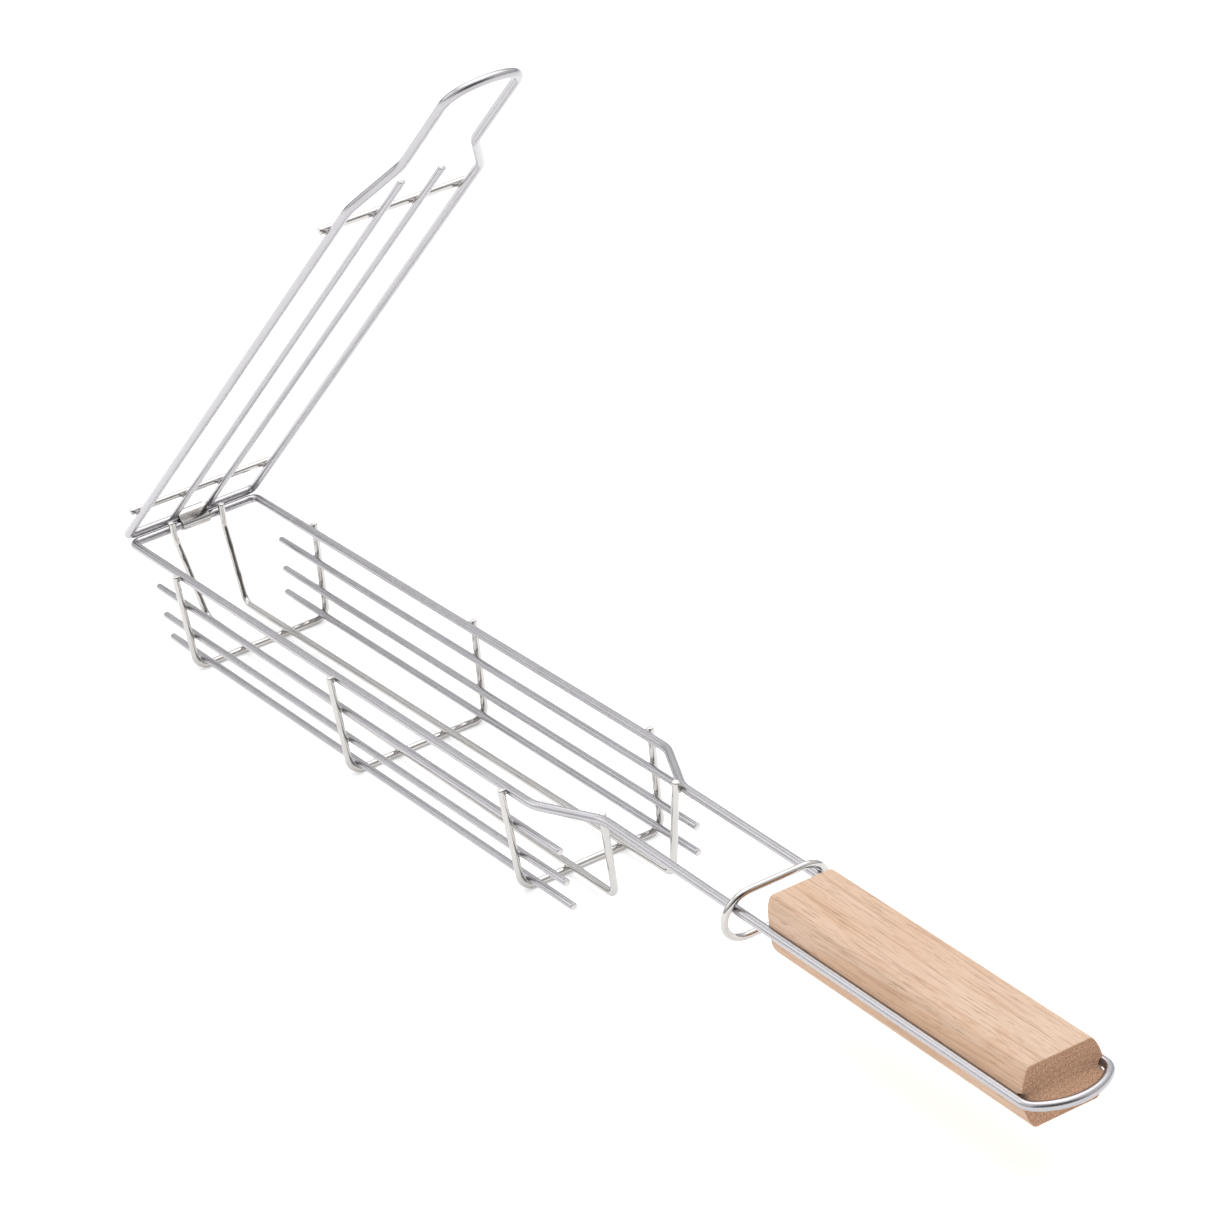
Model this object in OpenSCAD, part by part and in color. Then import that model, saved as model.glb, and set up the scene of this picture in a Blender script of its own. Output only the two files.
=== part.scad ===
// Wire grill basket for kebabs: a welded wire trough with a hinged wire lid,
// a sliding latch ring on the neck and a wooden handle.
// Origin: middle of the hinge bar. +X runs to the handle, +Y to the right-hand
// side as seen by the user at the handle, +Z is up. All sizes are millimetres.

/* [Wire] */
// Diameter of the heavy wire of the basket frame and the lid frame
frame_d = 4; // [3.6:0.2:4]
// Diameter of the light wire of ribs, long wires, crossbars and ring
thin_d = 3.2; // [2.6:0.2:3.2]
// Gap left between two wires where a weld joins them
weld_gap = 0.03; // [0.02:0.01:0.1]

/* [Basket] */
// Distance between the two frame side wires, centre to centre
basket_w = 64; // [62:1:70]
// Length from the hinge bar to the first bend of the neck
basket_l = 355; // [340:5:380]
// Length over which the frame narrows from the basket to the neck
shoulder_l = 32; // [28:1:36]
// Distance between the two neck wires, centre to centre
neck_w = 37; // [36:1:38]
// Angle by which neck and handle slope down from the basket
neck_drop = 1.3; // [0:0.1:1.5]
// Depth from the frame wire down to the lowest wire, centre to centre
basket_h = 45; // [42:1:52]
// How far each rib leg leans inwards from top to bottom
rib_lean = 2; // [1:0.5:3]
// Radius of the bottom corners of the ribs
rib_corner_r = 6; // [5.5:0.5:8]
// Distance from the hinge bar to the first rib
first_rib_x = 50; // [45:1:60]
// Distance from the hinge bar to the last rib
last_rib_x = 336; // [320:1:338]
// Depth of the upper side wires below the frame wire
upper_wire_z = 15; // [12:0.5:17]
// Depth of the middle side wires below the frame wire
middle_wire_z = 29.5; // [26:0.5:31]
// Distance from the hinge bar to the start of the side wires
side_wire_x = 20; // [18:1:30]
// Length of the side wires
side_wire_l = 351.5; // [330:0.5:352]
// Distance between the tops of the two floor wires at the hinge bar
floor_wire_w = 25.2; // [25.2:0.2:27]

/* [Lid] */
// Opening angle of the lid as drawn
lid_open = 39.4; // [0:0.2:90]
// Distance between the lid side wires at the hinge, centre to centre
lid_hinge_w = 65.6; // [64:0.2:67]
// Distance between the lid side wires at the shoulder, centre to centre
lid_shoulder_w = 60.6; // [60:0.2:64]
// Length of the lid from its hinge bar to the shoulder
lid_l = 366; // [360:1:385]
// Length over which the lid narrows from the side wires to the tongue
lid_shoulder_l = 33; // [30:1:36]
// Width of the tongue, centre to centre
tongue_w = 32.6; // [31:0.2:33]
// Distance from the hinge bar to the end of the tongue
tongue_x = 466; // [455:1:468]
// Distance between the two inner long wires of the lid
inner_wire_w = 18.4; // [17.8:0.2:18.6]
// Distance from the hinge bar to the lid crossbar beside the hinge
first_bar_x = 25; // [20:1:40]
// Distance from the hinge bar to the lid crossbar beside the tongue
last_bar_x = 340; // [320:1:345]

/* [Latch ring] */
// Distance from the hinge bar to the ring at rest
ring_x = 482; // [480:1:488]
// Width of the ring, centre line
ring_w = 47.2; // [46.6:0.2:50]
// Height of the ring, centre line
ring_h = 23.6; // [22:0.2:26]
// Angle by which the top of the ring leans towards the handle
ring_lean = 15; // [0:1:20]

/* [Handle] */
// Distance from the hinge bar to the front face of the handle
handle_x = 501; // [497:1:510]
// Length of the wooden handle
handle_l = 164; // [140:1:180]
// Width of the handle at its middle height
handle_w = 36; // [35:0.5:36.5]
// Thickness of the handle
handle_t = 25.5; // [24:0.5:27]
// Width of the flat top face of the handle
handle_top_w = 28; // [26:0.5:30]
// How far the end loop reaches past the handle
loop_reach = 12; // [11:0.5:18]

/* [Hidden] */
$fn = 48;
frame_r = frame_d / 2;
thin_r = thin_d / 2;
steel = [0.77, 0.77, 0.79];
bright_steel = [0.86, 0.86, 0.87];
oak = [0.88, 0.74, 0.6];

// Centre distance of a light wire welded beside a heavy one, and beside a light one
heavy_to_thin = frame_r + thin_r + weld_gap;
thin_to_thin = thin_d + weld_gap;
// Half-width of a rib leg at depth z below the frame wire
function rib_y(z) = basket_w / 2 + heavy_to_thin + rib_lean * z / basket_h;
wire_top_z = 1.5;

// Largest bend that fits across the end of a loop of width w whose corners turn by a
// with radius r
end_straight = 0.3;
function end_bend_r(w, a, r) =
    (w / 2 / sin(a) - r * tan(a / 2) - end_straight) / tan(90 - a);

// Frame outline
neck_x = basket_l + shoulder_l;
hinge_corner_r = 3.5;
shoulder_bend_r = 20;
shoulder_turn = atan((basket_w - neck_w) / 2 / shoulder_l);
neck_bend_x = neck_x + shoulder_bend_r * tan(shoulder_turn / 2);
neck_kink_x = neck_x + 6;
kink_gap = 0.06;
kink_collar_d = frame_d + 0.2;
kink_collar_l = 0.8;
handle_end_x = handle_x + handle_l;
loop_turn = 47;
loop_corner_r = 8;
loop_end_r = end_bend_r(neck_w, loop_turn, loop_corner_r);
loop_tip_x = handle_end_x + loop_reach - loop_end_r + loop_end_r / sin(loop_turn);
loop_corner_x = loop_tip_x - neck_w / 2 / tan(loop_turn);

// Side wires
side_inset = thin_to_thin / cos(atan(rib_lean / basket_h));
corner_nest = (rib_corner_r - thin_to_thin) * sin(45);
corner_wire_z = -basket_h + rib_corner_r - corner_nest;
corner_wire_y = rib_y(rib_corner_r - basket_h) - rib_corner_r + corner_nest;

// Floor wires: the same at the hinge bar, then one value for the left and one for the
// right wire. The front leg of the left one is shorter and stands further back.
floor_z = thin_to_thin - basket_h;
floor_stub = [heavy_to_thin + 0.17, 5];
floor_kink = [heavy_to_thin, -4];
floor_kink_r = 20;
floor_hinge_x = 14;
floor_bend_r = 5.5;
floor_front_x = [neck_x - 4.5, neck_x];
floor_front_lean = [8, 10.5];
floor_front_top = [0.6, 4.2];
floor_front_gap = [0.05, 0.01];
floor_tilt = [5.6, 1.7];

// Half-width at x of the line along which a light wire touches the inside of the
// frame's neck bend, with a gap left between them
function neck_contact_y(x, gap) =
    neck_w / 2 + shoulder_bend_r
    - sqrt(pow(shoulder_bend_r + heavy_to_thin + gap, 2) - pow(neck_bend_x - x, 2));

// Hinge
bar_gap = 0.2;
lid_rise = frame_d + bar_gap;
outer_rise = lid_rise + heavy_to_thin;
inner_rise = outer_rise - thin_to_thin;
clip_l = 14;
clip_t = 0.9;
clip_clearance = 0.1;
clip_seam = 0.6;
inner_wire_start = frame_r + weld_gap;
inner_wire_end = last_bar_x + 37;
bar_overhang = 1.6;

// Tongue
tongue_turn = 65;
tongue_corner_r = 12;
tongue_end_r = end_bend_r(tongue_w, tongue_turn, tongue_corner_r);
tongue_tip_x = tongue_x - tongue_end_r + tongue_end_r / sin(tongue_turn);
tongue_corner_x = tongue_tip_x - tongue_w / 2 / tan(tongue_turn);

// Ring: its round ends rest on the neck wires
ring_gap = 0.1;
ring_straight = 0.2;
ring_end_r = ring_h / 2 - ring_straight;
ring_seat = ring_end_r - frame_r - thin_r - ring_gap;
ring_seat_y = neck_w / 2 - ring_w / 2 + ring_end_r;
ring_top_z = ring_end_r - sqrt(pow(ring_seat, 2) - pow(ring_seat_y, 2));

// Handle section: a barrel with flat top and bottom and a groove in each side
side_bulge = (handle_w - handle_top_w) / 2;
barrel_r = (pow(handle_t / 2, 2) + pow(side_bulge, 2)) / (2 * side_bulge);
groove_clearance = 0.1;
front_round_r = 5;

// Joints inside a bent wire
joint_gap = 0.01;
sleeve_l = 0.2;
sleeve_extra = 0.02;

// Round wire bent in the XY plane through the points, each with its bend radius.
// A closed wire joins its last point to its first. Each straight stops a hair short
// of its bends, and a sleeve a hair wider than the wire joins the two.
function unit(v) = v / norm(v);
function heading(v) = atan2(v.y, v.x);
function turn(a, b) = atan2(a.x * b.y - a.y * b.x, a * b);
function bend_cut(before, after, r) = r * tan(abs(turn(before, after)) / 2);

module bent_wire(points, radii, d, closed = false) {
    n = len(points);
    last = n - 1;
    run = [for (i = [0:last]) points[(i + 1) % n] - points[i]];
    cut = [
        for (i = [0:last])
            !closed && (i == 0 || i == last) ? 0
            : bend_cut(run[(i + last) % n], run[i], radii[i])
    ];
    for (i = [0:closed ? last : last - 1])
        at(points[i] + unit(run[i]) * cut[i], run[i])
            translate([0, 0, joint_gap])
                cylinder(d = d, h = norm(run[i]) - cut[i] - cut[(i + 1) % n] - 2 * joint_gap);
    for (i = [closed ? 0 : 1:closed ? last : last - 1]) {
        before = run[(i + last) % n];
        start = points[i] - unit(before) * cut[i];
        bend(start, before, turn(before, run[i]), radii[i], d);
        at(start, before)
            sleeve(d);
        at(points[i] + unit(run[i]) * cut[i], run[i])
            sleeve(d);
    }
}

// Places children at point a with their Z axis along v
module at(a, v) {
    translate([a.x, a.y, 0])
        rotate([0, 0, heading(v)])
            rotate([0, 90, 0])
                children();
}

module sleeve(d) {
    cylinder(d = d + sleeve_extra, h = sleeve_l, center = true);
}

// Bend that leaves point a along v and turns by angle, to the left if positive
module bend(a, v, angle, r, d) {
    side = sign(angle);
    translate([a.x, a.y, 0])
        rotate([0, 0, heading(v)])
            translate([0, side * r, 0])
                rotate([0, 0, -90 * side + min(angle, 0)])
                    rotate_extrude(angle = abs(angle), $fn = 96)
                        translate([r, 0])
                            circle(d = d);
}

// Straight light wire from x = a to x = b
module rod(a, b, y, z) {
    translate([a, y, z])
        rotate([0, 90, 0])
            cylinder(d = thin_d, h = b - a);
}

// Slopes the neck and all it carries down from the basket
module on_neck() {
    translate([neck_kink_x, 0, 0])
        rotate([0, neck_drop, 0])
            translate([-neck_kink_x, 0, 0])
                children();
}

// Heavy wire round basket, neck and handle, in one closed loop. The basket's part and
// the neck's part meet inside a short collar where the neck starts to slope.
module frame_wire() {
    y = basket_w / 2;
    ny = neck_w / 2;
    basket_end = neck_kink_x - kink_gap;
    basket_points = [
        [basket_end, -ny], [neck_x, -ny], [basket_l, -y], [0, -y],
        [0, y], [basket_l, y], [neck_x, ny], [basket_end, ny]
    ];
    basket_radii = [
        0, shoulder_bend_r, shoulder_bend_r, hinge_corner_r,
        hinge_corner_r, shoulder_bend_r, shoulder_bend_r, 0
    ];
    neck_start = neck_kink_x + kink_gap;
    neck_points = [
        [neck_start, -ny], [loop_corner_x, -ny],
        [loop_tip_x, 0],
        [loop_corner_x, ny], [neck_start, ny]
    ];
    neck_radii = [0, loop_corner_r, loop_end_r, loop_corner_r, 0];
    color(steel) {
        bent_wire(basket_points, basket_radii, frame_d);
        on_neck()
            bent_wire(neck_points, neck_radii, frame_d);
        for (side = [-1, 1])
            at([neck_kink_x, side * ny], [1, 0])
                cylinder(d = kink_collar_d, h = kink_collar_l, center = true);
    }
}

// U-shaped cross wire welded to the outside of frame and long wires
module rib(x) {
    top_y = rib_y(wire_top_z);
    foot_y = rib_y(-basket_h);
    points = [
        [-top_y, wire_top_z], [-foot_y, -basket_h],
        [foot_y, -basket_h], [top_y, wire_top_z]
    ];
    radii = [0, rib_corner_r, rib_corner_r, 0];
    color(bright_steel)
        translate([x, 0, 0])
            rotate([90, 0, 90])
                bent_wire(points, radii, thin_d);
}

module rib_wire_hinge() {
    rib(first_rib_x);
}

module rib_wire_middle() {
    rib((first_rib_x + last_rib_x) / 2);
}

module rib_wire_front() {
    rib(last_rib_x);
}

// Straight wire along the inside of the ribs; side is -1 for left, 1 for right
module side_wire(side, y, z) {
    color(steel)
        rod(side_wire_x, side_wire_x + side_wire_l, side * y, z);
}

module side_wire_left_upper() {
    side_wire(-1, rib_y(-upper_wire_z) - side_inset, -upper_wire_z);
}

module side_wire_left_middle() {
    side_wire(-1, rib_y(-middle_wire_z) - side_inset, -middle_wire_z);
}

module side_wire_left_bottom() {
    side_wire(-1, corner_wire_y, corner_wire_z);
}

module side_wire_right_upper() {
    side_wire(1, rib_y(-upper_wire_z) - side_inset, -upper_wire_z);
}

module side_wire_right_middle() {
    side_wire(1, rib_y(-middle_wire_z) - side_inset, -middle_wire_z);
}

module side_wire_right_bottom() {
    side_wire(1, corner_wire_y, corner_wire_z);
}

// Long U-shaped wire: up to the hinge bar behind, along the floor, up to the neck
module floor_wire(side) {
    i = side < 0 ? 0 : 1;
    front_x = floor_front_x[i];
    front_y = neck_contact_y(front_x, floor_front_gap[i]);
    low_z = floor_z / cos(floor_tilt[i]);
    lean = floor_front_lean[i];
    top_z = floor_front_top[i];
    points = [
        floor_stub,
        floor_kink,
        [floor_hinge_x, low_z],
        [front_x - lean, low_z],
        [front_x - lean * top_z / low_z, top_z]
    ];
    radii = [0, floor_kink_r, floor_bend_r, floor_bend_r, 0];
    color(bright_steel)
        translate([0, side * floor_wire_w / 2, 0])
            rotate([0, 0, side * asin((front_y - floor_wire_w / 2) / front_x)])
                rotate([90 - side * floor_tilt[i], 0, 0])
                    bent_wire(points, radii, thin_d);
}

module floor_wire_left() {
    floor_wire(-1);
}

module floor_wire_right() {
    floor_wire(1);
}

// Everything on the lid is drawn closed, then swung open about the hinge bar
module lid_pose() {
    rotate([0, -lid_open, 0])
        children();
}

module lid_frame_wire() {
    hy = lid_hinge_w / 2;
    sy = lid_shoulder_w / 2;
    ty = tongue_w / 2;
    points = [
        [0, -hy], [lid_l, -sy], [lid_l + lid_shoulder_l, -ty], [tongue_corner_x, -ty],
        [tongue_tip_x, 0],
        [tongue_corner_x, ty], [lid_l + lid_shoulder_l, ty], [lid_l, sy], [0, hy]
    ];
    radii = [
        hinge_corner_r, shoulder_bend_r, shoulder_bend_r, tongue_corner_r,
        tongue_end_r,
        tongue_corner_r, shoulder_bend_r, shoulder_bend_r, hinge_corner_r
    ];
    color(steel)
        lid_pose()
            translate([0, 0, lid_rise])
                bent_wire(points, radii, frame_d, closed = true);
}

// Half the distance between the lid side wires at x
function lid_y(x) = (lid_hinge_w + (lid_shoulder_w - lid_hinge_w) * x / lid_l) / 2;

// Short bar across the outer face of the lid
module lid_crossbar(x) {
    half = lid_y(x) + frame_r + bar_overhang;
    color(bright_steel)
        lid_pose()
            translate([x, half, outer_rise])
                rotate([90, 0, 0])
                    cylinder(d = thin_d, h = 2 * half);
}

module lid_crossbar_hinge() {
    lid_crossbar(first_bar_x);
}

module lid_crossbar_tongue() {
    lid_crossbar(last_bar_x);
}

module lid_long_wire(side) {
    color(steel)
        lid_pose()
            rod(inner_wire_start, inner_wire_end, side * inner_wire_w / 2, inner_rise);
}

module lid_long_wire_left() {
    lid_long_wire(-1);
}

module lid_long_wire_right() {
    lid_long_wire(1);
}

// Outline of the clip: two circles round the two hinge bars and the web between
module clip_outline(r) {
    circle(r = r);
    translate([0, lid_rise])
        circle(r = r);
    translate([-r, 0])
        square([2 * r, lid_rise]);
}

// Sheet sleeve crimped round the lid bar and running round the frame bar.
// Its two ends meet at a seam on the side away from the basket.
module hinge_clip() {
    inner_r = frame_r + clip_clearance;
    color(bright_steel)
        lid_pose()
            rotate([90, 0, 0])
                translate([0, 0, -clip_l / 2])
                    linear_extrude(clip_l)
                        difference() {
                            clip_outline(inner_r + clip_t);
                            clip_outline(inner_r);
                            translate([-inner_r - 2 * clip_t, lid_rise / 2 - clip_seam / 2])
                                square([inner_r + 2 * clip_t, clip_seam]);
                        }
}

// Closed ring round both neck wires; slid forward it traps the lid's tongue
module latch_ring() {
    y = ring_w / 2;
    points = [
        [-y, ring_top_z - ring_h], [y, ring_top_z - ring_h],
        [y, ring_top_z], [-y, ring_top_z]
    ];
    radii = [ring_end_r, ring_end_r, ring_end_r, ring_end_r];
    color(bright_steel)
        on_neck()
            translate([ring_x, 0, 0])
                rotate([0, ring_lean, 0])
                    rotate([90, 0, 90])
                        bent_wire(points, radii, thin_d, closed = true);
}

module barrel_half(side) {
    translate([side * (barrel_r - handle_w / 2), 0])
        circle(r = barrel_r, $fn = 180);
}

module groove(side) {
    translate([side * neck_w / 2, 0])
        circle(r = frame_r + groove_clearance);
}

// Plan of the handle: square at the rear, with two round front corners
module handle_plan() {
    corner_y = handle_w / 2 - front_round_r;
    translate([front_round_r, -handle_w / 2])
        square([handle_l, handle_w]);
    translate([0, -corner_y])
        square([handle_l, 2 * corner_y]);
    for (side = [-1, 1])
        translate([front_round_r, side * corner_y])
            circle(r = front_round_r);
}

module wood_handle() {
    color(oak)
        on_neck()
            translate([handle_x, 0, 0])
                intersection() {
                    rotate([90, 0, 90])
                        linear_extrude(handle_l)
                            difference() {
                                intersection() {
                                    square([handle_w, handle_t], center = true);
                                    barrel_half(-1);
                                    barrel_half(1);
                                }
                                groove(-1);
                                groove(1);
                            }
                    linear_extrude(2 * handle_t, center = true)
                        handle_plan();
                }
}

frame_wire();
rib_wire_hinge();
rib_wire_middle();
rib_wire_front();
side_wire_left_upper();
side_wire_left_middle();
side_wire_left_bottom();
side_wire_right_upper();
side_wire_right_middle();
side_wire_right_bottom();
floor_wire_left();
floor_wire_right();
wood_handle();
latch_ring();
lid_frame_wire();
lid_crossbar_hinge();
lid_crossbar_tongue();
lid_long_wire_left();
lid_long_wire_right();
hinge_clip();
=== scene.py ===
"""Wire grill basket: looks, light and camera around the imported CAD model."""

import math

import bmesh
import bpy
import numpy as np
from mathutils import Matrix, Vector, noise


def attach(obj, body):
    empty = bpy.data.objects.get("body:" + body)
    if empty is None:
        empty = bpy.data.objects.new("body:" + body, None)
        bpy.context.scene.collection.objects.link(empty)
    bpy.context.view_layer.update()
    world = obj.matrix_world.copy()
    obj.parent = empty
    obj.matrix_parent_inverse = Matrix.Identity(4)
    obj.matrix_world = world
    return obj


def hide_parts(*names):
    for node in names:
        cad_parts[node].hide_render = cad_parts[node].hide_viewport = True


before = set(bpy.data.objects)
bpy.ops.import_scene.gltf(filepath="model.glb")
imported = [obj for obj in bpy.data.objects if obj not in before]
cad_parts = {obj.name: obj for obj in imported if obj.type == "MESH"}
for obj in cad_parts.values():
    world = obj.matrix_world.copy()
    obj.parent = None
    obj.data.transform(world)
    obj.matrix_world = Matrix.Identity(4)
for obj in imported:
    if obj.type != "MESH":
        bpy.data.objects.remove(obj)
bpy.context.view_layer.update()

MM = 0.001

# ---------------------------------------------------------------- camera

FORWARD = Vector((-0.79704, 0.42234, -0.43168))
RIGHT = Vector((0.52273, 0.84043, -0.14290))
DOWN = Vector((0.30244, -0.33955, -0.89064))

cam_data = bpy.data.cameras.new("camera")
cam_data.sensor_width = 36.0
cam_data.lens = 150.0
cam_data.clip_start = 0.05
cam_data.clip_end = 60.0
camera = bpy.data.objects.new("camera", cam_data)
bpy.context.scene.collection.objects.link(camera)
camera.matrix_world = Matrix((
    (RIGHT.x, -DOWN.x, -FORWARD.x, 1.9471),
    (RIGHT.y, -DOWN.y, -FORWARD.y, -0.8288),
    (RIGHT.z, -DOWN.z, -FORWARD.z, 0.9328),
    (0, 0, 0, 1),
))
bpy.context.scene.camera = camera

# ---------------------------------------------------------------- sizes, as in the CAD

FRAME_D = 4.0
THIN_D = 3.2
FR = FRAME_D / 2
TR = THIN_D / 2
WELD = 0.03
BASKET_W = 64.0
BASKET_L = 355.0
NECK_W = 37.0
NECK_X = 387.0
BASKET_H = 45.0
RIB_LEAN = 2.0
RIB_XS = (50.0, 193.0, 336.0)
HT = FR + TR + WELD
TT = THIN_D + WELD
HANDLE_X = 501.0
HANDLE_L = 164.0
HANDLE_END = HANDLE_X + HANDLE_L
LID_OPEN = math.radians(39.4)
HINGE_R = 3.5
BEND_R = 20.0
KINK_X = NECK_X + 6
NECK_DROP = math.radians(1.3)
ON_NECK = (Matrix.Translation((KINK_X * MM, 0, 0)) @ Matrix.Rotation(NECK_DROP, 4, "Y")
           @ Matrix.Translation((-KINK_X * MM, 0, 0)))


def rib_y(z):
    return BASKET_W / 2 + HT + RIB_LEAN * z / BASKET_H


def end_bend(w, a, r):
    a = math.radians(a)
    return (w / 2 / math.sin(a) - r * math.tan(a / 2) - 0.3) / math.tan(math.pi / 2 - a)


# ---------------------------------------------------------------- node helpers


class Nodes:
    """Short hand for a material's or world's node tree."""

    def __init__(self, tree):
        self.tree = tree
        tree.nodes.clear()

    def add(self, kind, **settings):
        n = self.tree.nodes.new(kind)
        for k, v in settings.items():
            setattr(n, k, v)
        return n

    def link(self, a, b):
        self.tree.links.new(a, b)

    def value(self, v, socket):
        """Feeds a socket from another node's output, or with a plain value."""
        if hasattr(v, "is_linked"):
            self.link(v, socket)
        else:
            socket.default_value = v

    def math(self, op, a, b=0.0):
        n = self.add("ShaderNodeMath", operation=op)
        self.value(a, n.inputs[0])
        self.value(b, n.inputs[1])
        return n.outputs[0]

    def scaled(self, vector, scale):
        n = self.add("ShaderNodeMapping")
        self.link(vector, n.inputs["Vector"])
        n.inputs["Scale"].default_value = scale
        return n.outputs[0]

    def noise(self, vector, scale, detail=4.0, rough=0.55, distortion=0.0):
        n = self.add("ShaderNodeTexNoise")
        self.link(vector, n.inputs["Vector"])
        n.inputs["Scale"].default_value = scale
        n.inputs["Detail"].default_value = detail
        n.inputs["Roughness"].default_value = rough
        n.inputs["Distortion"].default_value = distortion
        return n.outputs["Fac"]

    def ramp(self, fac, stops):
        """Colour ramp with stops of (position, colour)."""
        n = self.add("ShaderNodeValToRGB")
        elements = n.color_ramp.elements
        while len(elements) < len(stops):
            elements.new(1.0)
        for element, (position, colour) in zip(elements, stops):
            element.position = position
            element.color = (*colour, 1.0)
        self.link(fac, n.inputs["Fac"])
        return n.outputs["Color"]

    def mix(self, fac, a, colour):
        """Mixes the colour a towards another; sockets 6 and 7 are the mix node's colours."""
        n = self.add("ShaderNodeMix", data_type="RGBA")
        self.value(fac, n.inputs[0])
        for v, socket in ((a, n.inputs[6]), (colour, n.inputs[7])):
            if isinstance(v, tuple):
                socket.default_value = (*v, 1.0)
            else:
                self.link(v, socket)
        return n.outputs[2]

    def bump(self, height, strength, distance):
        n = self.add("ShaderNodeBump")
        n.inputs["Strength"].default_value = strength
        n.inputs["Distance"].default_value = distance
        self.link(height, n.inputs["Height"])
        return n.outputs["Normal"]

    def map_range(self, v, a, b, c, d):
        n = self.add("ShaderNodeMapRange")
        self.link(v, n.inputs["Value"])
        for name, x in zip(("From Min", "From Max", "To Min", "To Max"), (a, b, c, d)):
            n.inputs[name].default_value = x
        return n.outputs[0]


def material(name):
    """New material with a Principled shader: the material, its nodes and the shader."""
    m = bpy.data.materials.new(name)
    m.use_nodes = True
    n = Nodes(m.node_tree)
    out = n.add("ShaderNodeOutputMaterial")
    bsdf = n.add("ShaderNodeBsdfPrincipled")
    n.link(bsdf.outputs[0], out.inputs["Surface"])
    return m, n, bsdf


def steel(name, colour, rough, rough_span, line_strength):
    """Drawn stainless wire: fine lines along its length, uneven polish, small dull patches."""
    m, n, bsdf = material(name)
    uv = n.add("ShaderNodeUVMap", uv_map="wire").outputs["UV"]
    pos = n.add("ShaderNodeTexCoord").outputs["Object"]
    lines = n.noise(n.scaled(uv, (30.0, 42.0, 1.0)), 1.0, 5.0, 0.65)
    fine = n.noise(n.scaled(uv, (90.0, 140.0, 1.0)), 1.0, 3.0, 0.6)
    patches = n.noise(pos, 60.0, 3.0, 0.6)
    grain = n.noise(pos, 2600.0, 2.0, 0.6)
    tone = n.math("ADD", n.math("MULTIPLY", lines, 0.6), n.math("MULTIPLY", patches, 0.4))
    light = tuple(min(1.0, c * 1.07) for c in colour)
    dark = tuple(c * 0.88 for c in colour)
    n.link(n.ramp(tone, ((0.3, dark), (0.5, colour), (0.72, light))), bsdf.inputs["Base Color"])
    spread = n.math("ADD", n.math("MULTIPLY", patches, 0.6), n.math("MULTIPLY", fine, 0.4))
    n.link(n.map_range(spread, 0.3, 0.7, rough - rough_span, rough + rough_span),
           bsdf.inputs["Roughness"])
    bsdf.inputs["Metallic"].default_value = 1.0
    height = n.math("ADD", n.math("MULTIPLY", fine, 0.5), n.math("MULTIPLY", grain, 0.25))
    height = n.math("ADD", height, n.math("MULTIPLY", lines, 0.5))
    n.link(n.bump(height, line_strength, 0.00006), bsdf.inputs["Normal"])
    return m


def cut_steel(name):
    """Sawn or sheared end of a wire: brighter, with fine shear marks."""
    m, n, bsdf = material(name)
    pos = n.add("ShaderNodeTexCoord").outputs["Object"]
    marks = n.noise(n.scaled(pos, (900.0, 900.0, 3800.0)), 1.0, 3.0, 0.6)
    n.link(n.ramp(marks, ((0.3, (0.56, 0.55, 0.54)), (0.7, (0.76, 0.75, 0.74)))),
           bsdf.inputs["Base Color"])
    n.link(n.map_range(marks, 0.3, 0.7, 0.40, 0.60), bsdf.inputs["Roughness"])
    bsdf.inputs["Metallic"].default_value = 1.0
    n.link(n.bump(marks, 0.35, 0.00008), bsdf.inputs["Normal"])
    return m


def weld_steel(name):
    """Spot weld metal: slightly rippled and duller than the wire."""
    m, n, bsdf = material(name)
    pos = n.add("ShaderNodeTexCoord").outputs["Object"]
    ripple = n.noise(pos, 900.0, 3.0, 0.6, 0.4)
    tint = n.noise(pos, 120.0, 2.0, 0.5)
    col = n.mix(n.map_range(tint, 0.45, 0.7, 0.0, 0.5), (0.50, 0.485, 0.475), (0.45, 0.39, 0.33))
    n.link(col, bsdf.inputs["Base Color"])
    n.link(n.map_range(ripple, 0.3, 0.7, 0.28, 0.5), bsdf.inputs["Roughness"])
    bsdf.inputs["Metallic"].default_value = 1.0
    n.link(n.bump(ripple, 0.5, 0.0002), bsdf.inputs["Normal"])
    return m


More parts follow.
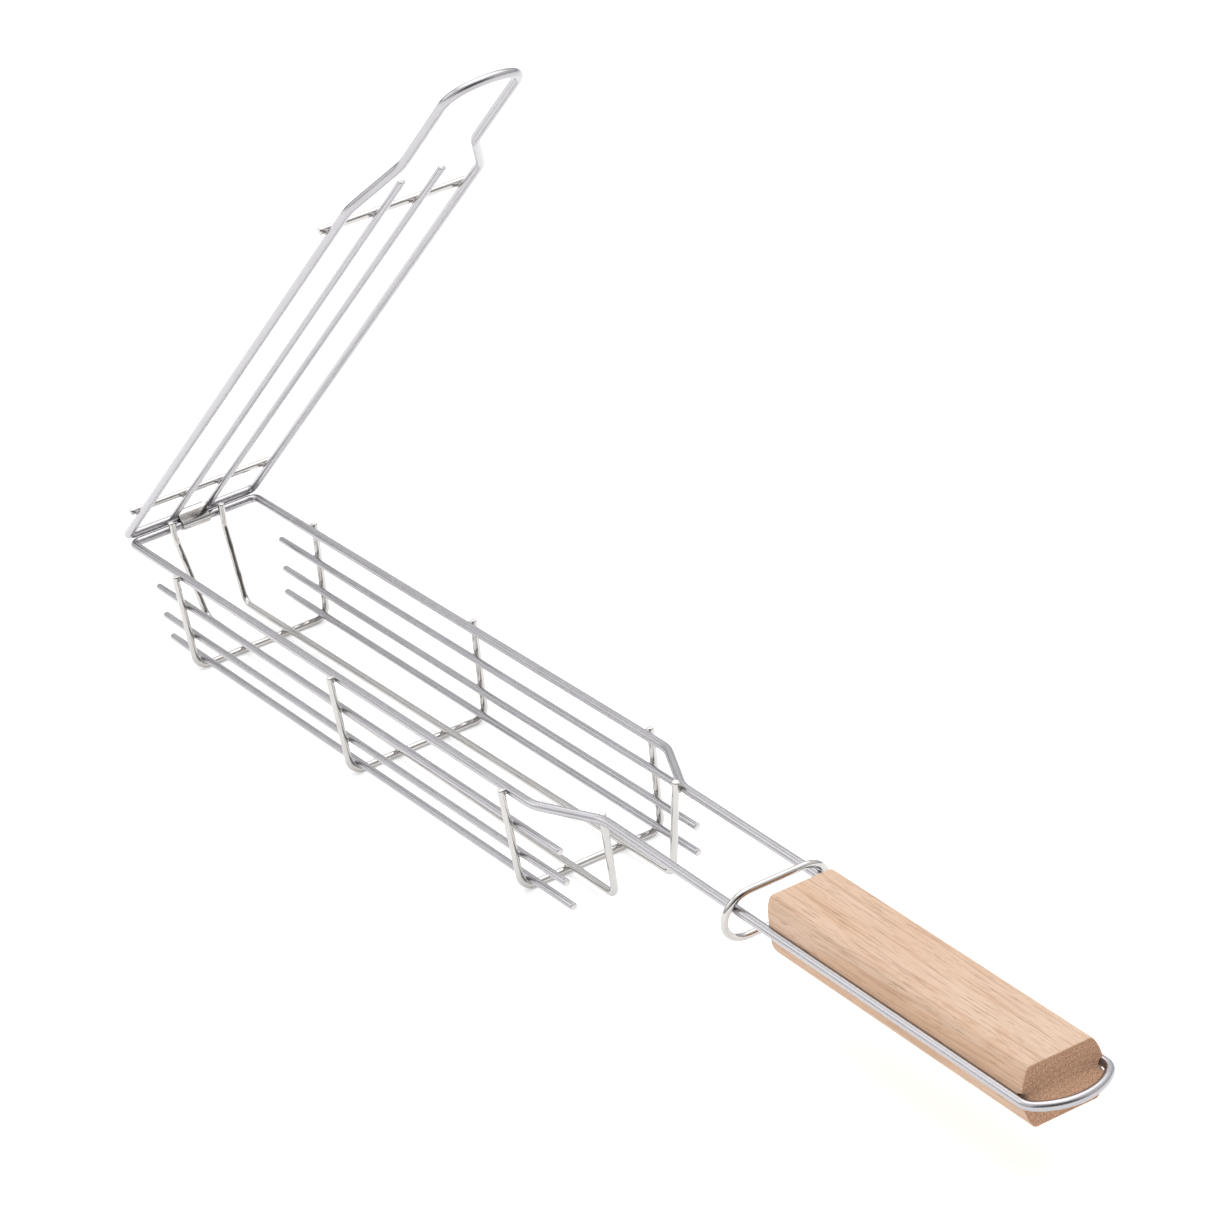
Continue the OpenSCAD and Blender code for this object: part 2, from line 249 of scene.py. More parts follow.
def wood(name):
    """Light close-grained hardwood, grain along X, darker on the end grain."""
    m, n, bsdf = material(name)
    pos = n.add("ShaderNodeTexCoord").outputs["Object"]
    geo = n.add("ShaderNodeNewGeometry")
    # growth rings about a slightly tilted pith, low and to one side of the piece
    warp = n.noise(n.scaled(pos, (7.0, 40.0, 40.0)), 1.0, 3.0, 0.5)
    sep = n.add("ShaderNodeSeparateXYZ")
    n.link(pos, sep.inputs[0])
    y = n.math("ADD", sep.outputs["Y"], n.math("MULTIPLY", sep.outputs["X"], 0.012))
    y = n.math("ADD", y, n.math("MULTIPLY", n.math("SUBTRACT", warp, 0.5), 0.010))
    z = n.math("ADD", sep.outputs["Z"], n.math("MULTIPLY", sep.outputs["X"], -0.02))
    dy = n.math("SUBTRACT", y, 0.012)
    dz = n.math("ADD", z, 0.055)
    radius = n.math("SQRT", n.math("ADD", n.math("MULTIPLY", dy, dy), n.math("MULTIPLY", dz, dz)))
    phase = n.math("MULTIPLY", radius, 2 * math.pi / 0.0026)
    ring = n.math("ADD", n.math("MULTIPLY", n.math("SINE", phase), 0.5), 0.5)
    ring = n.math("POWER", ring, 2.2)
    # fibres, dark streaks and pores run along the piece
    broad = n.noise(n.scaled(pos, (5.0, 70.0, 70.0)), 1.0, 3.0, 0.5)
    streak = n.noise(n.scaled(pos, (18.0, 880.0, 880.0)), 1.0, 3.0, 0.55)
    fibre = n.noise(n.scaled(pos, (60.0, 1500.0, 1500.0)), 1.0, 4.0, 0.7)
    pores = n.noise(n.scaled(pos, (90.0, 1500.0, 1500.0)), 1.0, 2.0, 0.6)
    pore_mask = n.map_range(pores, 0.58, 0.66, 0.0, 1.0)
    patch = n.noise(n.scaled(pos, (11.0, 34.0, 60.0)), 1.0, 4.0, 0.6, 0.8)
    col = n.ramp(broad, ((0.32, (0.555, 0.365, 0.245)), (0.5, (0.600, 0.418, 0.298)),
                         (0.68, (0.625, 0.452, 0.340))))
    col = n.mix(n.math("MULTIPLY", ring, 0.16), col, (0.52, 0.33, 0.21))
    col = n.mix(n.map_range(patch, 0.50, 0.62, 0.0, 0.55), col, (0.52, 0.315, 0.185))
    col = n.mix(n.map_range(streak, 0.52, 0.62, 0.0, 0.52), col, (0.40, 0.235, 0.147))
    col = n.mix(n.map_range(fibre, 0.50, 0.75, 0.0, 0.42), col, (0.36, 0.22, 0.142))
    col = n.mix(n.math("MULTIPLY", pore_mask, 0.42), col, (0.27, 0.15, 0.095))
    # end grain: brown, speckled with open pores and faint rings
    speck = n.noise(n.scaled(pos, (60.0, 1500.0, 1500.0)), 1.0, 4.0, 0.75)
    end = n.ramp(speck, ((0.34, (0.22, 0.115, 0.068)), (0.5, (0.49, 0.275, 0.168)),
                         (0.66, (0.70, 0.44, 0.295))))
    end = n.mix(n.math("MULTIPLY", ring, 0.22), end, (0.29, 0.16, 0.10))
    face = n.add("ShaderNodeSeparateXYZ")
    n.link(geo.outputs["Normal"], face.inputs[0])
    facing = n.math("ABSOLUTE", face.outputs["X"])
    ends = n.map_range(facing, 0.55, 0.92, 0.0, 1.0)
    n.link(n.mix(ends, col, end), bsdf.inputs["Base Color"])
    rough = n.map_range(fibre, 0.3, 0.7, 0.50, 0.66)
    n.link(n.math("ADD", rough, n.math("MULTIPLY", ends, 0.2)), bsdf.inputs["Roughness"])
    bsdf.inputs["Specular IOR Level"].default_value = 0.35
    height = n.math("SUBTRACT", n.math("MULTIPLY", fibre, 0.6), n.math("MULTIPLY", pore_mask, 0.5))
    height = n.math("ADD", height, n.math("MULTIPLY", n.math("MULTIPLY", speck, ends), 0.8))
    n.link(n.bump(height, 0.5, 0.00015), bsdf.inputs["Normal"])
    return m


# The two steels below are one and the same stainless. The second has a lighter base colour as
# painted light, for the cross wires, ribs, legs, clip and ring, which catch more light. Its lower
# roughness makes it more mirror-like.
SATIN = steel("satin_steel", (0.435, 0.426, 0.443), 0.26, 0.05, 0.22)
BRIGHT_LIT = steel("bright_steel", (0.525, 0.51, 0.495), 0.10, 0.03, 0.14)
CUT = cut_steel("cut_wire_end")
WELD_METAL = weld_steel("weld_metal")
WOOD = wood("handle_wood")

# ---------------------------------------------------------------- wire paths


def rounded(points, radii, closed):
    """Points along a flat polyline whose corners are arcs of the given radii."""
    pts = [np.array(p, float) for p in points]
    n = len(pts)
    out = []
    for i, p in enumerate(pts):
        r = radii[i]
        if not closed and i in (0, n - 1) or r == 0:
            out.append(p)
            continue
        a = pts[i - 1] - p
        b = pts[(i + 1) % n] - p
        a = a / np.linalg.norm(a)
        b = b / np.linalg.norm(b)
        half = math.acos(max(-1, min(1, float(a @ b)))) / 2
        mid = (a + b) / np.linalg.norm(a + b)
        centre = p + mid * r / math.sin(half)
        start = p + a * r / math.tan(half)
        sweep = math.pi - 2 * half
        steps = max(3, int(math.degrees(sweep) / 4))
        u = (start - centre) / r
        s = 1.0 if -a[0] * b[1] + a[1] * b[0] > 0 else -1.0
        for k in range(steps + 1):
            t = s * sweep * k / steps
            out.append(centre + r * np.array([u[0] * math.cos(t) - u[1] * math.sin(t),
                                              u[0] * math.sin(t) + u[1] * math.cos(t)]))
    return out


def split_long(points, closed, step):
    """Adds points so that no stretch is longer than step."""
    out = []
    n = len(points)
    for i in range(n if closed else n - 1):
        a, b = points[i], points[(i + 1) % n]
        k = max(1, int(math.ceil(np.linalg.norm(b - a) / step)))
        out += [a + (b - a) * j / k for j in range(k)]
    if not closed:
        out.append(points[-1])
    return out


def new_object(name, verts, faces, mats, face_mats=None, uvs=None):
    """Smooth-shaded mesh object, with a material index per face and UVs if they are given."""
    me = bpy.data.meshes.new(name)
    me.from_pydata([tuple(v) for v in verts], [], faces)
    for m in mats:
        me.materials.append(m)
    if face_mats is not None:
        me.polygons.foreach_set("material_index", face_mats)
    if uvs is not None:
        layer = me.uv_layers.new(name="wire")
        layer.data.foreach_set("uv", np.array(uvs, dtype=np.float32).ravel())
    me.polygons.foreach_set("use_smooth", [True] * len(me.polygons))
    me.update()
    o = bpy.data.objects.new(name, me)
    bpy.context.scene.collection.objects.link(o)
    return o


SIDES = 28
LONGEST_STEP = 14.0
# how far the rim of a sheared end is worn round, and the angles of its rings
WORN = 0.7
WORN_ANGLES = (math.pi / 2, 1.15, 0.75, 0.35)
# how far the middle of a sheared end stands out
END_CROWN = 0.06
# the UV's u runs along the wire, so many units to the metre
UV_PER_M = 10


def tube(name, path, radius, closed=False, mat=SATIN, place=None):
    """Round wire swept along a 3-D path in millimetres, with sheared ends."""
    pts = split_long([np.array(p, float) for p in path], closed, LONGEST_STEP)
    n = len(pts)
    tangents = []
    for i in range(n):
        a = pts[i - 1] if closed or i > 0 else pts[i]
        b = pts[(i + 1) % n] if closed or i < n - 1 else pts[i]
        t = b - a
        tangents.append(t / np.linalg.norm(t))
    side = np.array([0.0, 0.0, 1.0])
    if abs(side @ tangents[0]) > 0.9:
        side = np.array([1.0, 0.0, 0.0])
    frames = []
    for t in tangents:
        side = side - t * (side @ t)
        side = side / np.linalg.norm(side)
        frames.append((side.copy(), np.cross(t, side)))
    rings = []
    length = 0.0
    for i in range(n):
        if i:
            length += np.linalg.norm(pts[i] - pts[i - 1])
        rings.append((pts[i], frames[i], radius, length))
    if not closed:
        t0, t1 = tangents[0], tangents[-1]
        steps = [(WORN * (1 - math.sin(a)), WORN * (1 - math.cos(a))) for a in WORN_ANGLES]
        head = [(pts[0] + t0 * d, frames[0], radius - c, d) for d, c in steps]
        rings[0] = (pts[0] + t0 * WORN, frames[0], radius, WORN)
        tail = [(pts[-1] - t1 * d, frames[-1], radius - c, length - d) for d, c in steps[::-1]]
        rings[-1] = (pts[-1] - t1 * WORN, frames[-1], radius, length - WORN)
        rings = head + rings + tail
    verts, faces, uvs, mats = [], [], [], []
    for p, (s, u), r, _ in rings:
        for k in range(SIDES):
            a = 2 * math.pi * k / SIDES
            verts.append((p + r * (s * math.cos(a) + u * math.sin(a))) * MM)
    m = len(rings)
    for i in range(m if closed else m - 1):
        j = (i + 1) % m
        li = rings[i][3]
        lj = rings[j][3] if j else length + np.linalg.norm(pts[0] - pts[-1])
        for k in range(SIDES):
            k1 = (k + 1) % SIDES
            faces.append((i * SIDES + k, i * SIDES + k1, j * SIDES + k1, j * SIDES + k))
            v0, v1 = k / SIDES, (k + 1) / SIDES
            u0, u1 = li * MM * UV_PER_M, lj * MM * UV_PER_M
            uvs += [(u0, v0), (u0, v1), (u1, v1), (u1, v0)]
            mats.append(1 if not closed and i in (0, 1, m - 3, m - 2) else 0)
    if not closed:
        for base, rev in ((0, True), ((m - 1) * SIDES, False)):
            p, (s, u), _, _ = rings[0] if rev else rings[-1]
            t = -tangents[0] if rev else tangents[-1]
            verts.append((p + t * END_CROWN) * MM)
            c = len(verts) - 1
            for k in range(SIDES):
                a, b = base + k, base + (k + 1) % SIDES
                faces.append((b, a, c) if rev else (a, b, c))
                uvs += [(0, 0), (0, 1), (1, 1)]
                mats.append(1)
    if place is not None:
        verts = [place @ Vector(v) for v in verts]
    return new_object(name, verts, faces, [mat, CUT], mats, uvs)


def in_plane(points2, to3):
    """Flat points turned into 3-D points by the given function."""
    return [np.array(to3(p)) for p in points2]


# radii of weld beads, and their height as a part of that
BEAD_BIG = 1.5
BEAD_MIDDLE = 1.45
BEAD_SMALL = 1.35
BEAD_FLATNESS = 0.52


def beads(name, spots, place=None):
    """Small weld nuggets: (position mm, normal, size) each, one mesh for all."""
    bm = bmesh.new()
    for k, (p, nrm, size) in enumerate(spots):
        turn = Vector(nrm).to_track_quat("Z", "Y").to_matrix().to_4x4()
        made = bmesh.ops.create_icosphere(bm, subdivisions=3, radius=1.0)["verts"]
        for v in made:
            lump = noise.noise(v.co * 1.3 + Vector((k * 3.7, 1.0, 0.0)))
            co = v.co * (1.0 + 0.12 * lump)
            co = Vector((co.x * size, co.y * size, co.z * size * BEAD_FLATNESS))
            v.co = (Vector(p) + turn @ co) * MM
    me = bpy.data.meshes.new(name)
    bm.to_mesh(me)
    bm.free()
    me.materials.append(WELD_METAL)
    me.polygons.foreach_set("use_smooth", [True] * len(me.polygons))
    o = bpy.data.objects.new(name, me)
    bpy.context.scene.collection.objects.link(o)
    if place is not None:
        me.transform(place)
    return o


def fit(piece, body, slot, *nodes):
    """Ties a piece to its body and hides the CAD nodes it stands for; slot is not used."""
    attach(piece, body)
    if nodes:
        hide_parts(*nodes)


# ---------------------------------------------------------------- basket wires

BASKET_Y = BASKET_W / 2
NECK_Y = NECK_W / 2
LOOP_REACH = 12


LOOP_TURN = 47
LOOP_CORNER_R = 8


def looped_wire(bar_y, shoulder, neck, reach, turn, corner_r):
    """Outline of a frame wire: hinge bar, side wires, shoulders, neck wires and a round end
    loop, whose corners turn by an angle in degrees. shoulder and neck are (x, y) points."""
    end_r = end_bend(2 * neck[1], turn, corner_r)
    tip = reach - end_r + end_r / math.sin(math.radians(turn))
    corner = tip - neck[1] / math.tan(math.radians(turn))
    right = [(0, bar_y), shoulder, neck, (corner, neck[1])]
    left = [(x, -y) for x, y in right]
    radii = [HINGE_R, BEND_R, BEND_R, corner_r]
    return rounded(left + [(tip, 0)] + right[::-1], radii + [end_r] + radii[::-1], True)


outline = looped_wire(BASKET_Y, (BASKET_L, BASKET_Y), (NECK_X, NECK_Y), HANDLE_END + LOOP_REACH,
                      LOOP_TURN, LOOP_CORNER_R)


def on_neck(p):
    """The frame wire slopes down from the kink in the neck on."""
    d = max(0.0, p[0] - KINK_X)
    return (p[0] - d + d * math.cos(NECK_DROP), p[1], -d * math.sin(NECK_DROP))


frame_wire = tube("frame_wire_tube", in_plane(outline, on_neck), FR, closed=True)
fit(frame_wire, "basket", "satin_steel", "frame_wire")

RIB_TOP_Z = 1.5
RIB_CORNER_R = 6

for x, tag in zip(RIB_XS, ("hinge", "middle", "front")):
    top, foot = rib_y(RIB_TOP_Z), rib_y(-BASKET_H)
    pts = rounded([(-top, RIB_TOP_Z), (-foot, -BASKET_H), (foot, -BASKET_H), (top, RIB_TOP_Z)],
                  [0, RIB_CORNER_R, RIB_CORNER_R, 0], False)
    rib = tube(f"rib_{tag}_tube", in_plane(pts, lambda p: (x, p[0], p[1])), TR, mat=BRIGHT_LIT)
    fit(rib, "basket", "bright_steel", f"rib_wire_{tag}")

inset = TT / math.cos(math.atan(RIB_LEAN / BASKET_H))
nest = (RIB_CORNER_R - TT) * math.sin(math.radians(45))
SIDE_WIRE_START = 20
SIDE_WIRE_END = 371.5
SIDE_WIRES = {
    "upper": (rib_y(-15) - inset, -15.0),
    "middle": (rib_y(-29.5) - inset, -29.5),
    "bottom": (rib_y(RIB_CORNER_R - BASKET_H) - RIB_CORNER_R + nest,
               -BASKET_H + RIB_CORNER_R - nest),
}
for level, (wy, wz) in SIDE_WIRES.items():
    for sign, tag in ((-1, "left"), (1, "right")):
        ends = [(SIDE_WIRE_START, sign * wy, wz), (SIDE_WIRE_END, sign * wy, wz)]
        wire = tube(f"side_{tag}_{level}_tube", ends, TR)
        fit(wire, "basket", "satin_steel", f"side_wire_{tag}_{level}")

FLOOR_Z = TT - BASKET_H
FLOOR_TOP_Y = 12.6
FLOOR_TOP_GAP = 0.17
NECK_BEND_X = NECK_X + BEND_R * math.tan(math.atan((BASKET_Y - NECK_Y)
                                                   / (NECK_X - BASKET_L)) / 2)


class FloorWire:
    """One long U-shaped wire: its path (along, up) and any such point in the shared frame.

    The wire's plane is tilted by tilt degrees and splayed towards the front. Its front leg
    leans by lean, ends at height top and stands a gap away from the frame wire at front_x."""

    def __init__(self, sign, front_x, lean, top, gap, tilt):
        self.sign = sign
        self.front_x = front_x
        self.tilt = math.radians(tilt)
        reach = BEND_R + HT + gap
        self.front_y = NECK_Y + BEND_R - math.sqrt(reach ** 2 - (NECK_BEND_X - front_x) ** 2)
        self.splay = math.asin((self.front_y - FLOOR_TOP_Y) / front_x)
        self.low = FLOOR_Z / math.cos(self.tilt)
        self.path = rounded([(HT + FLOOR_TOP_GAP, 5), (HT, -4), (14, self.low),
                             (front_x - lean, self.low),
                             (front_x - lean * top / self.low, top)], [0, 20, 5.5, 5.5, 0], False)

    def point(self, u, v):
        out = v * math.sin(self.tilt)
        return (u * math.cos(self.splay) - out * math.sin(self.splay),
                self.sign * (FLOOR_TOP_Y + u * math.sin(self.splay)
                             + out * math.cos(self.splay)),
                v * math.cos(self.tilt))


FLOOR_WIRES = {
    "left": FloorWire(-1, NECK_X - 4.5, 8.0, 0.6, 0.05, 5.6),
    "right": FloorWire(1, NECK_X, 10.5, 4.2, 0.01, 1.7),
}
for tag, floor_wire in FLOOR_WIRES.items():
    wire = tube(f"floor_{tag}_tube", [floor_wire.point(*p) for p in floor_wire.path], TR,
                mat=BRIGHT_LIT)
    fit(wire, "basket", "bright_steel", f"floor_wire_{tag}")

spots = []
for x in RIB_XS:
    for s in (-1, 1):
        spots.append(((x, s * (BASKET_Y + FR), 0), (0, s, 0), BEAD_BIG))
        for level in ("upper", "middle"):
            wy, wz = SIDE_WIRES[level]
            spots.append(((x, s * (wy + TR), wz), (0, s, 0.04), BEAD_SMALL))
        wy, wz = SIDE_WIRES["bottom"]
        spots.append(((x, s * (wy + TR * 0.7), wz - TR * 0.7), (0, s, -1), BEAD_MIDDLE))
    for floor_wire in FLOOR_WIRES.values():
        _, fy, fz = floor_wire.point(x, floor_wire.low)
        spots.append(((x, fy, fz - TR), (0, 0, 1), BEAD_SMALL))
for floor_wire in FLOOR_WIRES.values():
    s = floor_wire.sign
    spots.append(((FR + WELD, s * (FLOOR_TOP_Y + WELD), -0.4), (1, 0, 0), BEAD_BIG))
    spots.append(((floor_wire.front_x + 0.4, s * (floor_wire.front_y + TR), -0.6), (0.3, s, 0),
                  BEAD_SMALL))
weld_basket = beads("weld_beads_basket", spots)
fit(weld_basket, "basket", "satin_steel")

# ---------------------------------------------------------------- lid

LID_TURN = Matrix.Rotation(-LID_OPEN, 4, "Y")
# heights above the hinge bar with the lid closed: frame wire, crossbars, long wires
RISE = FRAME_D + 0.2
OUTER = RISE + HT
INNER = OUTER - TT
LID_L = 366.0
LID_HINGE_Y = 65.6 / 2
LID_SHOULDER_Y = 60.6 / 2
TONGUE_Y = 32.6 / 2
TONGUE_START = LID_L + 33
TONGUE_END = 466
TONGUE_TURN = 65
TONGUE_CORNER_R = 12
BAR_END = 1.6
LONG_WIRE_Y = 9.2
LONG_WIRE_END = 377
outline = looped_wire(LID_HINGE_Y, (LID_L, LID_SHOULDER_Y), (TONGUE_START, TONGUE_Y), TONGUE_END,
                      TONGUE_TURN, TONGUE_CORNER_R)
lid_wire = tube("lid_frame_tube", in_plane(outline, lambda p: (p[0], p[1], RISE)), FR,
                closed=True, place=LID_TURN)
fit(lid_wire, "lid", "satin_steel", "lid_frame_wire")


def lid_y(x):
    """Where the lid's side wires run, at a distance x from the hinge."""
    return LID_HINGE_Y + (LID_SHOULDER_Y - LID_HINGE_Y) * x / LID_L


spots = []
for x, tag in ((25.0, "hinge"), (340.0, "tongue")):
    half = lid_y(x) + FR + BAR_END
    bar = tube(f"lid_bar_{tag}_tube", [(x, half, OUTER), (x, -half, OUTER)], TR, mat=BRIGHT_LIT,
               place=LID_TURN)
    fit(bar, "lid", "bright_steel", f"lid_crossbar_{tag}")
    for s in (-1, 1):
        spots.append(((x, s * lid_y(x), RISE + FR), (0, 0, 1), BEAD_BIG))
        spots.append(((x, s * LONG_WIRE_Y, INNER + TR), (0, 0, 1), BEAD_SMALL))
for s, tag in ((-1, "left"), (1, "right")):
    wy = s * LONG_WIRE_Y
    wire = tube(f"lid_long_{tag}_tube", [(FR + WELD, wy, INNER), (LONG_WIRE_END, wy, INNER)], TR,
                place=LID_TURN)
    fit(wire, "lid", "satin_steel", f"lid_long_wire_{tag}")
    spots.append(((FR + 0.1, wy, INNER), (1, 0, 0), BEAD_MIDDLE))
weld_lid = beads("weld_beads_lid", spots, place=LID_TURN)
fit(weld_lid, "lid", "satin_steel")

# ---------------------------------------------------------------- hinge clip

# how far the cut edges of the sheet are eased
SHEET_EASE = 0.12


def sheet_strip(name, profile, thickness, half, place):
    """Sheet metal strip: an open XZ profile with thickness, from -half to half in Y."""
    pts = split_long([np.array(p, float) for p in profile], False, 0.6)
    n = len(pts)
    normals = []
    for i in range(n):
        t = pts[min(i + 1, n - 1)] - pts[max(i - 1, 0)]
        t = t / np.linalg.norm(t)
        normals.append(np.array([-t[1], t[0]]))
    outer = [p + q * thickness / 2 for p, q in zip(pts, normals)]
    inner = [p - q * thickness / 2 for p, q in zip(pts, normals)]
    loop = outer + inner[::-1]
    m = len(loop)
    stations = [(-half, SHEET_EASE), (-half + SHEET_EASE, 0.0), (half - SHEET_EASE, 0.0),
                (half, SHEET_EASE)]
    verts = []
    for across, ease in stations:
        for i, p in enumerate(loop):
            inwards = pts[i if i < n else m - 1 - i] - p
            q = p + inwards / np.linalg.norm(inwards) * ease
            verts.append(Vector((q[0], across, q[1])) * MM)
    faces = []
    for a in range(len(stations) - 1):
        for i in range(m):
            j = (i + 1) % m
            faces.append((a * m + i, a * m + j, (a + 1) * m + j, (a + 1) * m + i))
    last = (len(stations) - 1) * m
    for i in range(n - 1):
        faces.append((i + 1, i, m - 1 - i, m - 2 - i))
        faces.append((last + i, last + i + 1, last + m - 2 - i, last + m - 1 - i))
    verts = [place @ v for v in verts]
    uvs = []
    for f in faces:
        for v in f:
            uvs.append((verts[v].y * UV_PER_M, (v % m) / m * 6))
    o = new_object(name, verts, faces, [BRIGHT_LIT], None, uvs)
    bm = bmesh.new()
    bm.from_mesh(o.data)
    bmesh.ops.recalc_face_normals(bm, faces=bm.faces)
    bm.to_mesh(o.data)
    bm.free()
    smooth_by_angle(o, 40)
    return o


def smooth_by_angle(o, degrees):
    """Marks edges sharper than the angle, so flat faces stay flat."""
    bm = bmesh.new()
    bm.from_mesh(o.data)
    limit = math.radians(degrees)
    for e in bm.edges:
        e.smooth = len(e.link_faces) == 2 and e.calc_face_angle(0) < limit
    bm.to_mesh(o.data)
    bm.free()


def arc(cx, cz, r, a0, a1):
    """Points of an arc in the XZ plane, about 8 degrees apart."""
    k = max(2, int(abs(a1 - a0) / 8))
    return [(cx + r * math.cos(math.radians(a0 + (a1 - a0) * i / k)),
             cz + r * math.sin(math.radians(a0 + (a1 - a0) * i / k))) for i in range(k + 1)]


CLIP_T = 0.9
CLIP_CLEARANCE = 0.1
CLIP_HALF = 7.0
CLIP_LIP_Z = 1.4
clip_r = FR + CLIP_CLEARANCE + CLIP_T / 2
profile = arc(0, 0, clip_r, 165, 360) + [(clip_r, RISE)] + arc(0, RISE, clip_r, 0, 180)
profile += [(-clip_r, CLIP_LIP_Z)]
clip = sheet_strip("hinge_clip_sheet", profile, CLIP_T, CLIP_HALF, LID_TURN)
fit(clip, "lid", "bright_steel", "hinge_clip")

# ---------------------------------------------------------------- latch ring

RING_X = 482
RING_Y = 47.2 / 2
RING_H = 23.6
RING_LEAN = 15
RING_GAP = 0.1
ring_r = RING_H / 2 - 0.2
# the ring hangs on the two neck wires, which lie in its upper corners
seat = ring_r - FR - TR - RING_GAP
seat_y = NECK_Y - RING_Y + ring_r
ring_top = ring_r - math.sqrt(seat ** 2 - seat_y ** 2)
ring_foot = ring_top - RING_H
pts = rounded([(-RING_Y, ring_foot), (RING_Y, ring_foot), (RING_Y, ring_top),
               (-RING_Y, ring_top)], [ring_r] * 4, True)
ring_place = (ON_NECK @ Matrix.Translation((RING_X * MM, 0, 0))
              @ Matrix.Rotation(math.radians(RING_LEAN), 4, "Y"))
ring = tube("latch_ring_tube", in_plane(pts, lambda p: (0, p[0], p[1])), TR, closed=True,
            mat=BRIGHT_LIT, place=ring_place)
fit(ring, "ring", "bright_steel", "latch_ring")

# ---------------------------------------------------------------- wooden handle

# half width and half height of the section, whose barrelled sides are BULGE narrower at the
# top and bottom than in the middle
HW, HH = 18.0, 12.75
BULGE = 4.0
TOP_Y = HW - BULGE
BARREL = (HH ** 2 + BULGE ** 2) / (2 * BULGE)
# radii: long edges, front corners, groove, and the rims of the front and rear faces
EDGE = 1.1
FRONT_CORNER = 5.0
GROOVE_R = 2.1
FRONT_RIM = 1.0
REAR_RIM = 0.5
# the groove opens out at the rear, by so much for each millimetre of this length
GROOVE_MOUTH = 3.0
GROOVE_FLARE = 0.4
GROOVE_MOUTH_R = 3.3


def side_profile():
    """Heights down one side of the section, closer together round the groove."""
    zs = set(np.round(np.linspace(-HH, HH, 41), 4))
    for a in np.linspace(-90, 90, 25):
        zs.add(round(float(GROOVE_R * math.sin(math.radians(a))), 4))
        zs.add(round(float(GROOVE_MOUTH_R * math.sin(math.radians(a))), 4))
    for k in range(7):
        e = EDGE * (1 - math.cos(math.radians(15 * k)))
        zs |= {round(HH - e, 4), round(e - HH, 4)}
    return sorted(zs)


def handle_half_width(z, s, groove):
    """Half width at height z and at distance s behind the front face."""
    w = HW - BARREL + math.sqrt(max(0.0, BARREL ** 2 - z * z))
    d = max(0.0, FRONT_CORNER - s)
    w = min(w, HW - FRONT_CORNER + math.sqrt(max(0.0, FRONT_CORNER ** 2 - d * d)))
    over = abs(z) - (HH - EDGE)
    if over > 0:
        w -= EDGE - math.sqrt(max(0.0, EDGE ** 2 - over ** 2))
    if abs(z) < groove:
        w = min(w, NECK_Y - math.sqrt(groove ** 2 - z * z))
    return w


def wooden_handle():
    """The block, built up of sections from its front face to its rear face."""
    zs = side_profile()
    front = [0.0, 0.08, 0.25, 0.55, 1.0, 1.5, 2.2, 3.0, 4.0, 5.0]
    rear = [HANDLE_L - d for d in (3.0, 2.2, 1.4, 0.8, 0.45, 0.2, 0.06, 0.0)]
    middle = list(np.linspace(8, HANDLE_L - 4, 60))
    stations = front + middle + rear
    verts, faces = [], []
    n = 2 * len(zs)
    for s in stations:
        tail = HANDLE_L - s
        ease = 0.0
        if s < FRONT_RIM:
            ease = FRONT_RIM - math.sqrt(FRONT_RIM ** 2 - (FRONT_RIM - s) ** 2)
        if tail < REAR_RIM:
            ease = REAR_RIM - math.sqrt(REAR_RIM ** 2 - (REAR_RIM - tail) ** 2)
        groove = GROOVE_R + GROOVE_FLARE * max(0.0, GROOVE_MOUTH - tail)
        right = [(handle_half_width(z, s, groove), z) for z in zs]
        left = [(-w, z) for w, z in reversed(right)]
        for py, pz in right + left:
            verts.append(((HANDLE_X + s) * MM, py * (1 - ease / TOP_Y) * MM,
                          pz * (1 - ease / HH) * MM))
    for a in range(len(stations) - 1):
        for i in range(n):
            j = (i + 1) % n
            faces.append((a * n + i, a * n + j, (a + 1) * n + j, (a + 1) * n + i))
    # end caps as bands between the two sides, so the grooves stay open
    last = (len(stations) - 1) * n
    for i in range(len(zs) - 1):
        r0, r1 = i, i + 1
        l0, l1 = n - 1 - i, n - 2 - i
        faces.append((r0, l0, l1, r1))
        faces.append((last + r0, last + r1, last + l1, last + l0))
    o = new_object("handle_wood_body", verts, faces, [WOOD])
    bm = bmesh.new()
    bm.from_mesh(o.data)
    bmesh.ops.remove_doubles(bm, verts=bm.verts, dist=1e-7)
    bmesh.ops.recalc_face_normals(bm, faces=bm.faces)
    bm.to_mesh(o.data)
    bm.free()
    o.data.transform(ON_NECK)
    smooth_by_angle(o, 35)
    return o


handle = wooden_handle()
fit(handle, "basket", "wood", "wood_handle")

# ---------------------------------------------------------------- floor, light

FLOOR_LEVEL = -(BASKET_H + TR) * MM
FLOOR_HALF = 14.0


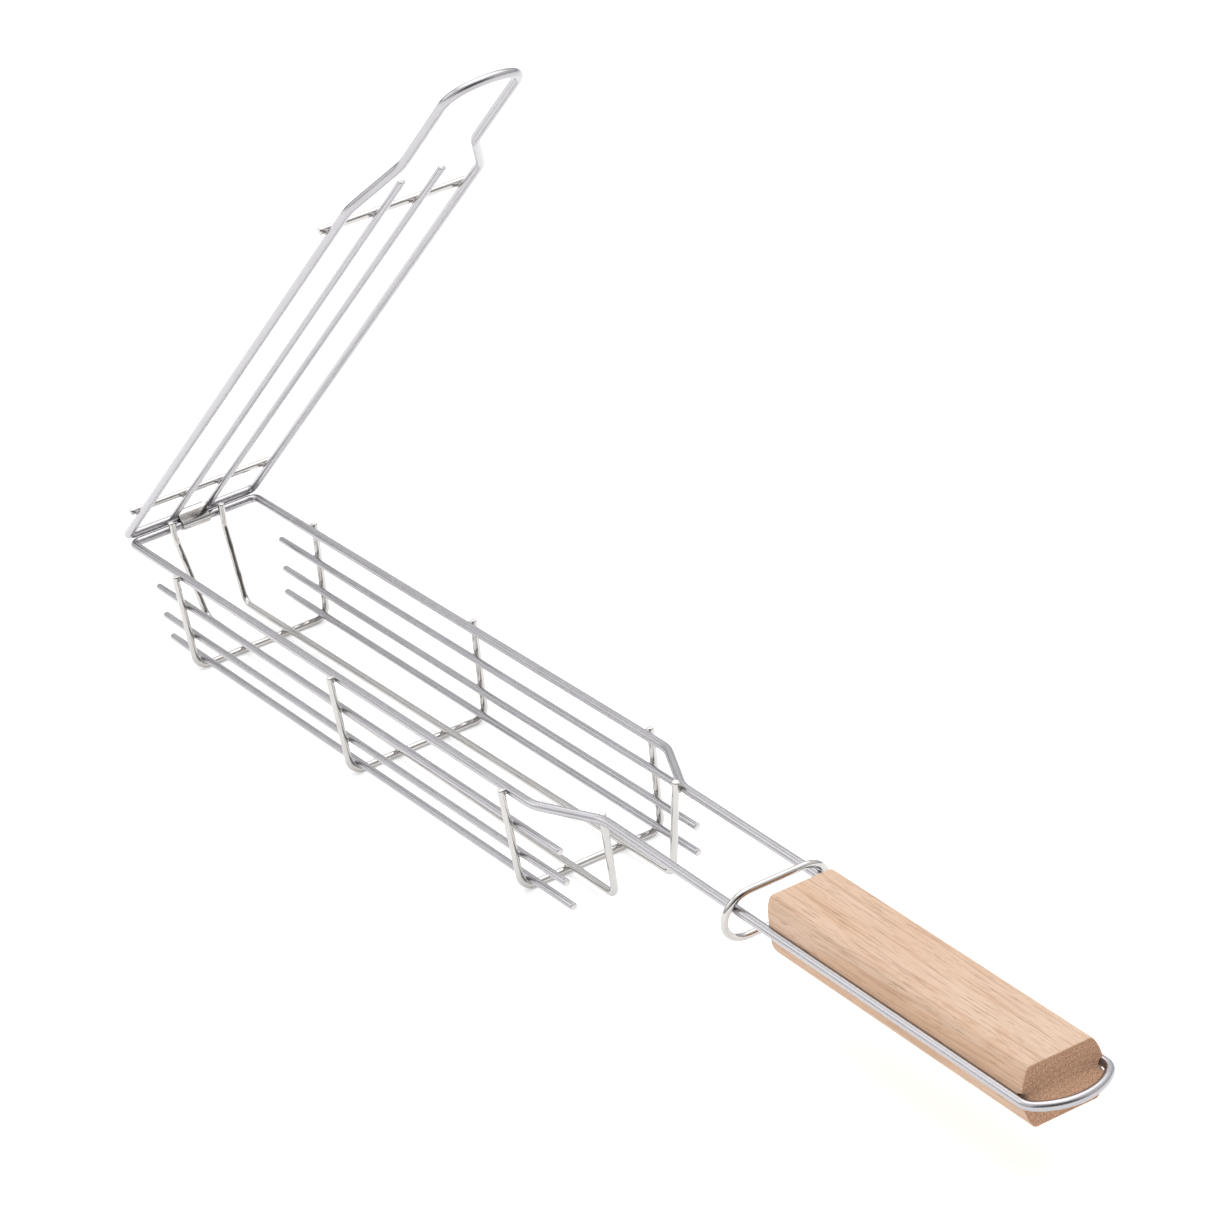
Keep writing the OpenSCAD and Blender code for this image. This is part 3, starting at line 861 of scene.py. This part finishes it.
def make_floor():
    me = bpy.data.meshes.new("floor")
    me.from_pydata([(x * FLOOR_HALF, y * FLOOR_HALF, FLOOR_LEVEL)
                    for x, y in ((-1, -1), (1, -1), (1, 1), (-1, 1))], [], [(0, 1, 2, 3)])
    o = bpy.data.objects.new("floor", me)
    bpy.context.scene.collection.objects.link(o)
    m, _, bsdf = material("pale_glowing_floor")
    bsdf.inputs["Base Color"].default_value = (0.93, 0.93, 0.93, 1)
    bsdf.inputs["Roughness"].default_value = 0.9
    bsdf.inputs["Specular IOR Level"].default_value = 0.1
    # The floor glows faintly: painted light that washes out the shadows cast on it.
    bsdf.inputs["Emission Color"].default_value = (1.0, 1.0, 1.0, 1)
    bsdf.inputs["Emission Strength"].default_value = 0.27
    me.materials.append(m)


make_floor()


def area_light(name, where, target, size, power):
    """Soft box of the given size in metres and power in watts."""
    data = bpy.data.lights.new(name, "AREA")
    data.shape = "RECTANGLE"
    data.size = size
    data.size_y = size
    data.energy = power
    o = bpy.data.objects.new(name, data)
    o.location = where
    o.rotation_euler = (Vector(target) - Vector(where)).to_track_quat("-Z", "Y").to_euler()
    bpy.context.scene.collection.objects.link(o)


MIDDLE = (0.33, 0.0, 0.0)
area_light("softbox_top", (0.1, 0.3, 2.1), MIDDLE, 2.8, 34)
area_light("softbox_left", (-1.4, -1.9, 1.5), MIDDLE, 1.8, 10)

world = bpy.data.worlds.new("studio")
bpy.context.scene.world = world
world.use_nodes = True
n = Nodes(world.node_tree)
out = n.add("ShaderNodeOutputWorld")
back = n.add("ShaderNodeBackground")
n.link(back.outputs[0], out.inputs["Surface"])
direction = n.add("ShaderNodeTexCoord").outputs["Generated"]
parts = n.add("ShaderNodeSeparateXYZ")
n.link(direction, parts.inputs[0])
# brighter upwards, with a dark side that the wires reflect
sky = n.ramp(parts.outputs["Z"], ((0.0, (0.44, 0.44, 0.46)), (0.14, (0.62, 0.62, 0.64)),
                                  (0.4, (0.92, 0.92, 0.92)), (0.7, (1.0, 1.0, 1.0))))
dot = n.add("ShaderNodeVectorMath", operation="DOT_PRODUCT")
n.link(direction, dot.inputs[0])
dot.inputs[1].default_value = (0.88, -0.30, 0.12)
dark_side = n.map_range(dot.outputs["Value"], 0.53, 0.84, 0.0, 1.0)
n.link(n.mix(dark_side, sky, (0.06, 0.055, 0.05)), back.inputs["Color"])
back.inputs["Strength"].default_value = 1.04

bpy.context.scene.view_settings.view_transform = "Standard"
